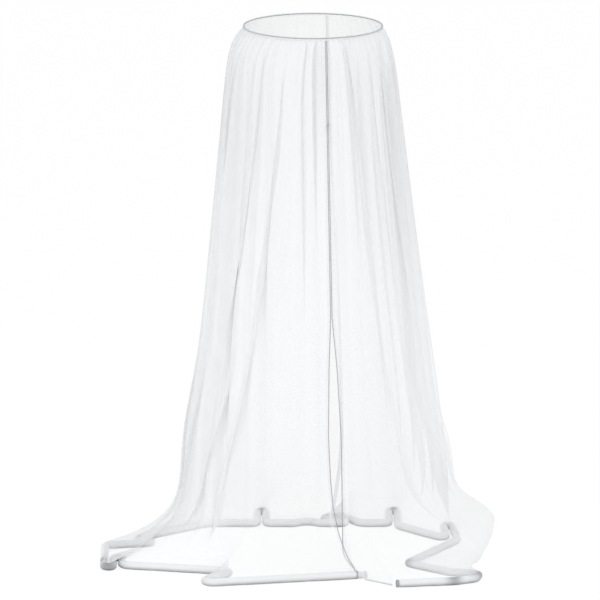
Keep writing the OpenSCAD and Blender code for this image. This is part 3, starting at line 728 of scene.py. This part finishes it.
CORD_STEPS, STRAND_SIDES, STRAND_R, STRAND_OFF, TURNS = 1560, 8, 0.00135, 0.0013, 104
CORD_Z = NET_H - 0.007
round_step = np.arange(CORD_STEPS) / CORD_STEPS * 2 * math.pi
strands, strand_faces = [], []
for strand in range(3):
    twist = TURNS * round_step + strand * 2 * math.pi / 3
    around = np.arange(STRAND_SIDES) / STRAND_SIDES * 2 * math.pi
    out = STRAND_OFF * np.cos(twist)[:, None] + STRAND_R * np.cos(around)[None]
    up = STRAND_OFF * np.sin(twist)[:, None] + STRAND_R * np.sin(around)[None]
    rings = np.stack([
        rim_x + (RIM_R + out) * np.cos(round_step)[:, None],
        rim_y + (RIM_R + out) * np.sin(round_step)[:, None], CORD_Z + up,
    ], 2)
    strand_faces.append(ringed(rings, closed=True) + strand * CORD_STEPS * STRAND_SIDES)
    strands.append(rings.reshape(-1, 3))
strand_faces = np.concatenate(strand_faces)[:, ::-1]
rim_cord = add_object("rim_cord_strands", np.concatenate(strands), strand_faces)
cord_shader = Shader(bpy.data.materials.new("grey_cord"))
fibres = noise(cord_shader, cord_shader.node("ShaderNodeTexCoord", out="Object"), 900.0, 2.0)
rim_cord.data.materials.append(finished(cord_shader, {
    "Base Color": mixed(cord_shader, fibres, (0.28, 0.285, 0.295), (0.40, 0.405, 0.415)),
    "Roughness": 0.75, "Sheen Weight": 0.3,
    "Normal": bumped(cord_shader, 0.5, 0.0003, fibres),
}))
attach(rim_cord, "net")
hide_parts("rim_cord")

# ---- Zip ----------------------------------------------------
# A nylon coil zip up the middle of the front. Each coil is sewn to the edge of a sheer
# tape, and the net's edges are sewn to the tapes. Below the knees the two sides part.
ZIP_FOOT, ZIP_HEAD = 0.0363, 2.2837
TAPE_W, TAPE_T, COIL_GAP, COIL_D = 0.014, 0.0008, 0.0022, 0.0018
TAPE_COLUMNS, TAPE_ROWS, TAPE_CROWN = 9, 260, 0.0004
zip_cloth = woven_tape(
    "zip_tape", 0.3, (0.72, 0.73, 0.75), (0.80, 0.81, 0.83), 0.42, edge_cover=0.40)
zip_z = np.linspace(ZIP_HEAD, ZIP_FOOT, TAPE_ROWS)
for side, name in ((-1, "zip_tape_left"), (1, "zip_tape_right")):
    edge = door_edge(zip_z, side) + RIM_AXIS
    strip = np.zeros((TAPE_COLUMNS, TAPE_ROWS, 3))
    for i, share in enumerate(np.linspace(0, 1, TAPE_COLUMNS)):
        strip[i, :, 0] = edge[:, 0] + side * (COIL_GAP / 2 + share * TAPE_W)
        strip[i, :, 1] = edge[:, 1] + TAPE_CROWN * math.sin(math.pi * share)
        strip[i, :, 2] = zip_z
    piece = sheet_object(name + "_cloth", strip, -side)
    piece.data.materials.append(zip_cloth)
    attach(piece, "net")
    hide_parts(name)

WIRE_R, COIL_PITCH, COIL_STEPS, SLIDER_Z = 0.00038, 0.0016, 8, 1.93
WIRE_ANGLES = (0.8, 2.4, 3.9, 5.5)
coil_run = (ZIP_HEAD - ZIP_FOOT) / COIL_PITCH
coil_shader = Shader(bpy.data.materials.new("nylon_coil"))
above_slider = coil_shader.node(
    "ShaderNodeMath", {"operation": "GREATER_THAN"}, [object_height(coil_shader), SLIDER_Z])
coil_material = finished(coil_shader, {
    "Base Color": mixed(coil_shader, above_slider, (0.14, 0.145, 0.15), (0.03, 0.032, 0.035)),
    "Roughness": 0.38, "Coat Weight": 0.2,
})
for side, name in ((-1, "zip_coil_left"), (1, "zip_coil_right")):
    step = np.arange(int(coil_run * COIL_STEPS))
    wind = step / COIL_STEPS * 2 * math.pi * side
    z = ZIP_HEAD - step / COIL_STEPS * COIL_PITCH
    edge = door_edge(z, side) + RIM_AXIS
    loop = COIL_D / 2 - WIRE_R
    middle = np.stack([
        edge[:, 0] + side * (COIL_GAP / 2 + COIL_D / 2) + loop * np.cos(wind),
        edge[:, 1] - TAPE_T / 2 - COIL_D / 2 + loop * np.sin(wind), z,
    ], 1)
    out = np.stack([np.cos(wind), np.sin(wind), np.zeros_like(wind)], 1)
    rings = np.stack([
        middle + WIRE_R * (math.cos(a) * out + [0, 0, math.sin(a)]) for a in WIRE_ANGLES], 1)
    faces = ringed(rings, closed=False)[:, ::-side]
    piece = add_object(name + "_wire", rings.reshape(-1, 3), faces)
    piece.data.materials.append(coil_material)
    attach(piece, "net")
    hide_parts(name)

metal = Shader(bpy.data.materials.new("zip_metal"))
place = metal.node("ShaderNodeTexCoord", out="Object")
scratch, worn = noise(metal, place, 700.0, 4.0), noise(metal, place, 160.0, 2.0)
zip_metal = finished(metal, {
    "Base Color": mixed(metal, worn, (0.36, 0.37, 0.39), (0.62, 0.63, 0.65)), "Metallic": 1.0,
    "Roughness": scratch * 0.3 + 0.22, "Normal": bumped(metal, 0.2, 0.0001, scratch),
})
for node in ("zip_top_stop", "zip_slider", "zip_pull_outer", "zip_pull_inner"):
    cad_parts[node].data.materials.clear()
    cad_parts[node].data.materials.append(zip_metal)

# ---- Hem sleeves --------------------------------------------
# Soft white tunnels of dense polyester cloth, sewn to the foot of the net along a ridge
# and filled by the water tubes. They crease on the inside of each bend.
SLEEVE_R, TUBE_R, REST_Z, FLOOR_Z = 0.0170, 0.0149, 0.0168, 0.0003
SIDES = 40
# A bend is as sharp as it gets at this radius, in metres.
SHARPEST = 0.018


def bending(line):
    """How sharply a level line turns at each point, in 1/m, left turns above 0."""
    step = np.diff(line, axis=0)
    heading = np.unwrap(np.arctan2(step[:, 1], step[:, 0]))
    turn = np.zeros(len(line))
    turn[1:-1] = np.diff(heading) / np.linalg.norm(step[1:], axis=1)
    kernel = np.hanning(9)
    return np.convolve(turn, kernel / kernel.sum(), "same")


def tube_rings(line, radius):
    """Rings round a level line that lies on the floor; radius is a number per ring and side."""
    way = np.gradient(line, axis=0)
    way /= np.linalg.norm(way, axis=1)[:, None]
    left = np.stack([-way[:, 1], way[:, 0]], 1)
    around = np.arange(radius.shape[1]) / radius.shape[1] * 2 * math.pi
    flat = line[:, None] + left[:, None] * (radius * np.cos(around))[:, :, None]
    z = np.maximum(REST_Z + radius * np.sin(around), FLOOR_Z)
    return np.concatenate([flat + RIM_AXIS, z[:, :, None]], 2)


def tube_object(name, rings, girth, closed=False):
    """A tube's mesh from its rings, with a UV of the distance round it and along it.

    Its ends are closed by a point each, or joined to each other."""
    sides = rings.shape[1]
    if not closed:
        first, last = [np.repeat(r.mean(0, keepdims=True), sides, 0) for r in rings[[0, -1]]]
        rings = np.concatenate([first[None], rings, last[None]])
    faces = ringed(rings, closed)
    run = run_along(rings, 0).mean(1)
    row, side = np.divmod(faces, sides)
    wrapped = (side == 0) & (faces.max(1, keepdims=True) % sides == sides - 1)
    turn = (side + np.where(wrapped, sides, 0)) / sides * girth
    uv = np.stack([turn, run[row]], 2).reshape(-1, 2)
    tube = add_object(name, rings.reshape(-1, 3), faces, uv)
    welded(tube)
    return tube


sleeve = Shader(bpy.data.materials.new("sleeve_cloth"))
uv, axes = cloth_axes(sleeve)
cloth_weave = plait(axes[0], 0.0011, 1) * plait(axes[1], 0.0011, 1)
stain = noise(sleeve, uv, 14.0, 4.0)
crease = noise(sleeve, uv, 55.0, 3.0, distortion=0.6)
ridge_at = 2 * math.pi * SLEEVE_R / 4
stitch_rows = [
    sleeve.node("ShaderNodeMath", {"operation": "COMPARE"}, [axes[0], ridge_at + off, 0.00035])
    for off in (-0.0035, 0.0035)
]
stitches = (stitch_rows[0] + stitch_rows[1]) * plait(axes[1], 0.003, 0.5)
# Painted shade: the underside is darkened towards the floor.
painted_height_shade = fading(sleeve, object_height(sleeve) + stain * 0.004, 0.0, 0.022, 1.0, 0.0)
sleeve_shade = mixed(sleeve, stain, (0.755, 0.76, 0.765), (0.82, 0.825, 0.83))
sleeve_shade = mixed(sleeve, stitches * 0.6, sleeve_shade, (0.5, 0.51, 0.52))
sleeve_shade = mixed(sleeve, painted_height_shade ** 1.3, sleeve_shade, (0.28, 0.285, 0.29))
# Painted shadow: the sleeve is darkened at the tips of the folds and at sharp bends.
bend_shadow_share = painted(sleeve, "bend_shadow") * (stain * 0.4 + 0.6)
sleeve_shade = mixed(sleeve, bend_shadow_share, sleeve_shade, (0.20, 0.205, 0.21))
sleeve_bump = cloth_weave * 0.25 + crease * 1.2 - stitches * 0.5
sleeve_cloth = finished(sleeve, {
    "Base Color": sleeve_shade, "Roughness": 0.78, "Sheen Weight": 0.15,
    "Normal": bumped(sleeve, 0.35, 0.0008, sleeve_bump),
})


# Where shadow is painted dark on the sleeves: [x, y, reach] in millimetres from the rim's axis.
bend_shadow_spots = np.array([
    [-876, -425, 50], [-895, -340, 50], [-760, 150, 30], [-515, -745, 42], [-223, 695, 32],
    [50, 555, 36], [349, 705, 32], [408, -350, 36], [600, -700, 32], [706, -605, 55],
]) * MM


# Gives each point of a sleeve its share of painted shadow near those spots.
def set_bend_shadows(piece):
    spots = np.zeros((len(piece.data.vertices), 3))
    piece.data.vertices.foreach_get("co", spots.reshape(-1))
    away = np.linalg.norm(spots[:, None, :2] - RIM_AXIS - bend_shadow_spots[None, :, :2], axis=2)
    set_amounts(piece, "bend_shadow", bump_at(away, bend_shadow_spots[None, :, 2]).max(1))


# The slack cloth's slow waves along a sleeve: pitch, turns round the tube, and size.
slack_waves = [(0.31, 1, 0.0003), (0.17, 2, 0.00025), (0.092, 3, 0.0002), (0.051, 2, 0.00015)]
CREASE_PITCH, CREASE_DEPTH, FLATTENED, RIDGE_H = 0.0085, 0.0013, 0.07, 0.0011


def sleeve_radius(line, run):
    """The sleeve's radius at each ring and side, with its creases, slack, ridge and ends."""
    around = np.arange(SIDES) / SIDES * 2 * math.pi
    bend = bending(line)
    sharp = np.clip(np.abs(bend) * SHARPEST, 0, 1)
    inner = np.clip(np.cos(around)[None] * np.sign(bend)[:, None], 0, 1)
    radius = np.full((len(line), SIDES), SLEEVE_R)
    radius *= 1 - FLATTENED * sharp[:, None] * (1 - inner)
    wave = np.cos(2 * math.pi * run / CREASE_PITCH)[:, None]
    radius -= CREASE_DEPTH * sharp[:, None] * inner**1.5 * (0.5 + 0.5 * wave)
    slack = sum(
        size * np.cos(2 * math.pi * run[:, None] / pitch + turns * around[None] + phase)
        for (pitch, turns, size), phase in zip(slack_waves, dice.uniform(0, 6, 4))
    )
    seam = RIDGE_H * np.exp(-(((around - math.pi / 2) / 0.11) ** 2))[None]
    radius = radius + slack * (1 - seam / RIDGE_H) + seam
    # Both ends are turned in round the tube.
    from_end = np.minimum(run, run[-1] - run)
    turned_in = np.clip(1 - from_end / 0.0025, 0, 1)[:, None] ** 2
    return radius * (1 - turned_in) + (TUBE_R + 0.0002) * turned_in


sleeve_names = [
    "hem_sleeve_front_left", "hem_sleeve_back_left",
    "hem_sleeve_back_right", "hem_sleeve_front_right",
]
SLEEVE_T, SLEEVE_GIRTH, SLEEVE_STEP = 0.0006, 2 * math.pi * SLEEVE_R, 0.003
for part, node in zip(parts, sleeve_names):
    line = spaced(part, SLEEVE_STEP)
    radius = sleeve_radius(line, lengths(line))
    outside, inside = tube_rings(line, radius), tube_rings(line, radius - SLEEVE_T)
    inside[:, :, 2] += SLEEVE_T * (inside[:, :, 2] < 2 * SLEEVE_T)
    rings = np.concatenate([outside, inside[::-1]])
    piece = tube_object(node + "_cloth", rings, SLEEVE_GIRTH, closed=True)
    set_bend_shadows(piece)
    piece.data.materials.append(sleeve_cloth)
    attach(piece, "net")
    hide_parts(node)

# ---- Water tubes --------------------------------------------
# Two hoses of milky soft vinyl inside the sleeves, filled with water. A short end of each
# shows beside the door, closed by its filler neck and plug.
TUBE_STEP, TUBE_SIDES, TUBE_FLATTENED = 0.004, 28, 0.09
vinyl = Shader(bpy.data.materials.new("milky_vinyl"))
uv, axes = cloth_axes(vinyl)
cloudy = noise(vinyl, uv, 30.0, 3.0)
drawn_lines = plait(axes[0], 0.0026, 2)
milky_vinyl = finished(vinyl, {
    "Base Color": mixed(vinyl, cloudy, (0.76, 0.775, 0.79), (0.86, 0.87, 0.88)),
    "Roughness": cloudy * 0.2 + 0.22, "Coat Weight": 0.3,
    "Normal": bumped(vinyl, 0.3, 0.0003, drawn_lines),
})
left_line = np.concatenate([parts[0], parts[1][1:]])
right_line = np.concatenate([parts[2], parts[3][1:]])[::-1]
# Each tube's side and line, and how much of its end is bare.
tube_ends = [("left", left_line, 0.032), ("right", right_line, 0.006)]


def end_way(line):
    """The direction in which a line's first end points."""
    return (line[0] - line[1]) / np.linalg.norm(line[0] - line[1])


for side, line, bare in tube_ends:
    line = spaced(np.concatenate([[line[0] + end_way(line) * bare], line]), TUBE_STEP)
    sharp = np.clip(np.abs(bending(line)) * SHARPEST, 0, 1)
    radius = np.repeat((TUBE_R * (1 - TUBE_FLATTENED * sharp))[:, None], TUBE_SIDES, 1)
    rings = tube_rings(line, radius)
    piece = tube_object(f"water_tube_{side}_vinyl", rings, 2 * math.pi * TUBE_R)
    piece.data.materials.append(milky_vinyl)
    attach(piece, "net")
    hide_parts(f"water_tube_{side}")

# ---- Filler plugs -------------------------------------------
# Press-in plugs of moulded plastic that close the tubes' ends: white at the left, and grey at the
# right, where the grey is painted shade for the shaded end of its tube. The head has grip ribs
# round its rim and a dished face, and the shank sits in the neck.
HEAD_R, HEAD_T, SHANK_R, SHANK_LEN = 0.016, 0.011, 0.0077, 0.016
FLANGE_T, SEAT, PLUG_Z = 0.002, 0.0003, 0.017
RIB_EDGE, RIB_OUT, LIP_W, LIP_STEP, DISH_DEPTH = 0.0003, 0.0007, 0.0022, 0.0008, 0.0018
CROWN_W, CROWN_H, EDGE_R = 0.0075, 0.0007, 0.0004
HEAD_SIDES = 72
FACE_TURN = 360 / HEAD_SIDES


def moulded(name, dark, light):
    plastic = Shader(bpy.data.materials.new(name))
    place = plastic.node("ShaderNodeTexCoord", out="Object")
    grain, scuff = noise(plastic, place, 1400.0, 2.0), noise(plastic, place, 120.0, 4.0)
    return finished(plastic, {
        "Base Color": mixed(plastic, scuff, dark, light), "Roughness": scuff * 0.25 + 0.35,
        "Normal": bumped(plastic, 0.25, 0.0002, grain),
    })


plug_plastic = {
    "left": moulded("white_plastic", (0.70, 0.71, 0.72), (0.82, 0.83, 0.84)),
    # The right plug's grey stands in for the shade at the end of its tube.
    "right": moulded("grey_plastic_painted_shade", (0.30, 0.305, 0.31), (0.42, 0.425, 0.43)),
}


def pick_faces(thing, wanted):
    """Selects in edit mode the faces for which wanted(centre, normal) is true."""
    bpy.ops.mesh.select_mode(type="FACE")
    bpy.ops.mesh.select_all(action="DESELECT")
    shape = bmesh.from_edit_mesh(thing.data)
    for face in shape.faces:
        face.select_set(bool(wanted(face.calc_center_median(), face.normal)))
    bmesh.update_edit_mesh(thing.data)


def on_rib(centre, normal):
    """Every third face round the head's side carries a rib."""
    face = round(math.degrees(math.atan2(centre.y, centre.x)) / FACE_TURN - 0.5)
    return abs(normal.z) < 0.5 and face % 3 == 0


def make_plug(name, end, axis, plastic):
    bpy.ops.object.select_all(action="DESELECT")
    bpy.ops.mesh.primitive_cylinder_add(
        vertices=HEAD_SIDES, radius=HEAD_R, depth=HEAD_T, location=(0, 0, HEAD_T / 2))
    plug = bpy.context.object
    plug.name = name
    bpy.ops.object.mode_set(mode="EDIT")
    pick_faces(plug, on_rib)
    bpy.ops.mesh.inset(thickness=RIB_EDGE, use_individual=True)
    bpy.ops.transform.shrink_fatten(value=RIB_OUT)
    pick_faces(plug, lambda centre, normal: normal.z > 0.99)
    bpy.ops.mesh.inset(thickness=LIP_W)
    bpy.ops.mesh.inset(thickness=LIP_STEP)
    bpy.ops.transform.translate(value=(0, 0, -DISH_DEPTH))
    bpy.ops.mesh.inset(thickness=CROWN_W)
    bpy.ops.transform.translate(value=(0, 0, CROWN_H))
    pick_faces(plug, lambda centre, normal: normal.z < -0.99)
    bpy.ops.mesh.inset(thickness=HEAD_R - SHANK_R)
    bpy.ops.mesh.extrude_region_move(TRANSFORM_OT_translate={"value": (0, 0, -SHANK_LEN)})
    bpy.ops.object.mode_set(mode="OBJECT")
    edge = plug.modifiers.new("edge", "BEVEL")
    edge.width, edge.segments, edge.limit_method = EDGE_R, 2, "ANGLE"
    bpy.ops.object.modifier_apply(modifier="edge")
    bpy.ops.object.shade_smooth_by_angle(angle=math.radians(35))
    plug.location = Vector((*(end + RIM_AXIS), PLUG_Z)) + axis * (FLANGE_T + SEAT)
    plug.rotation_euler = axis.to_track_quat("Z", "Y").to_euler()
    bpy.ops.object.transform_apply(location=True, rotation=True, scale=True)
    plug.data.materials.append(plastic)
    return plug


for side, line, bare in tube_ends:
    way = end_way(line)
    end, axis = line[0] + way * bare, Vector((*way, 0))
    plug = make_plug(f"filler_plug_{side}_ribbed", end, axis, plug_plastic[side])
    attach(plug, f"plug_{side}")
    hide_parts(f"filler_plug_{side}")
    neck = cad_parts[f"filler_neck_{side}"]
    neck.data.materials.clear()
    neck.data.materials.append(plug_plastic[side])

# ---- Zip's foot ---------------------------------------------
# A dark woven band is wrapped round the end of the left sleeve, where the zip ends. It
# leaves the underside free, and its edges are turned.
BAND_W, BAND_IN, BAND_OUT, BAND_INSET, FLOOR_GAP = 0.007, 0.0174, 0.0185, 0.001, 0.005
band_way = end_way(left_line)
band_left = turned(band_way)
low = math.asin((REST_Z - FLOOR_GAP) / BAND_OUT)
sweep_angles = np.linspace(-low, math.pi + low, 60)
# The band's section, closed round its edge: [place along the tube, radius].
section = [
    (0.0, 0.2), (0.03, 0.0), (0.5, 0.0), (0.97, 0.0), (1.0, 0.2),
    (1.0, 0.8), (0.97, 1.0), (0.5, 1.0), (0.03, 1.0), (0.0, 0.8),
]
rings = np.zeros((len(sweep_angles), len(section), 3))
for i, angle in enumerate(sweep_angles):
    for j, (step_along, step_out) in enumerate(section):
        radius = BAND_IN + (BAND_OUT - BAND_IN) * step_out
        push = -BAND_INSET - BAND_W * (1 - step_along)
        spot = left_line[0] + band_way * push + band_left * radius * math.cos(angle) + RIM_AXIS
        rings[i, j] = (*spot, REST_Z + radius * math.sin(angle))
binding = tube_object("zip_end_binding_band", rings, 2 * BAND_W)
band = Shader(bpy.data.materials.new("dark_binding"))
uv, axes = cloth_axes(band)
ribs = plait(axes[1], 0.0011, 1)
binding.data.materials.append(finished(band, {
    "Base Color": mixed(band, ribs, (0.34, 0.345, 0.35), (0.50, 0.505, 0.51)),
    "Roughness": 0.82, "Normal": bumped(band, 0.6, 0.0003, ribs),
}))
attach(binding, "net")
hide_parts("zip_end_binding")

# ---- Door sill ----------------------------------------------
# Across the door the hem has no tube: the cloth is rolled over a thin core and stitched,
# and the roll lies flat on the floor.
SILL_R, SILL_SIDES, SILL_STEP = 0.0035, 16, 0.001
ROLL_DEPTH, ROLL_PITCH, SILL_FLOOR_Z = 0.0003, 0.006, 0.0004
sill_line = spaced(np.array([[336, -712], [222, -603]]) * MM, SILL_STEP)
around = np.arange(SILL_SIDES) / SILL_SIDES * 2 * math.pi
roll = ROLL_DEPTH * np.cos(around[None] * 2 + lengths(sill_line)[:, None] / ROLL_PITCH)
radius = SILL_R - ROLL_DEPTH + roll
rings = tube_rings(sill_line, radius)
rings[:, :, 2] = np.maximum(SILL_R + radius * np.sin(around), SILL_FLOOR_Z)
sill = tube_object("door_sill_roll", rings, 2 * math.pi * SILL_R)
sill_shader = Shader(bpy.data.materials.new("rolled_hem"))
uv, axes = cloth_axes(sill_shader)
slant = plait(axes[0] + axes[1], 0.0045, 1)
threads = plait(axes[0], 0.0009, 1) * plait(axes[1], 0.0009, 1)
shade = slant * 0.7 + threads * 0.3
sill.data.materials.append(finished(sill_shader, {
    "Base Color": mixed(sill_shader, shade, (0.60, 0.61, 0.62), (0.74, 0.75, 0.76)),
    "Roughness": 0.8, "Normal": bumped(sill_shader, 0.5, 0.0004, slant + threads),
}))
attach(sill, "net")
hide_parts("door_sill")

# ---- End ----------------------------------------------------
# The lowest and highest corners of the finished model are found, in metres.
low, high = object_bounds()
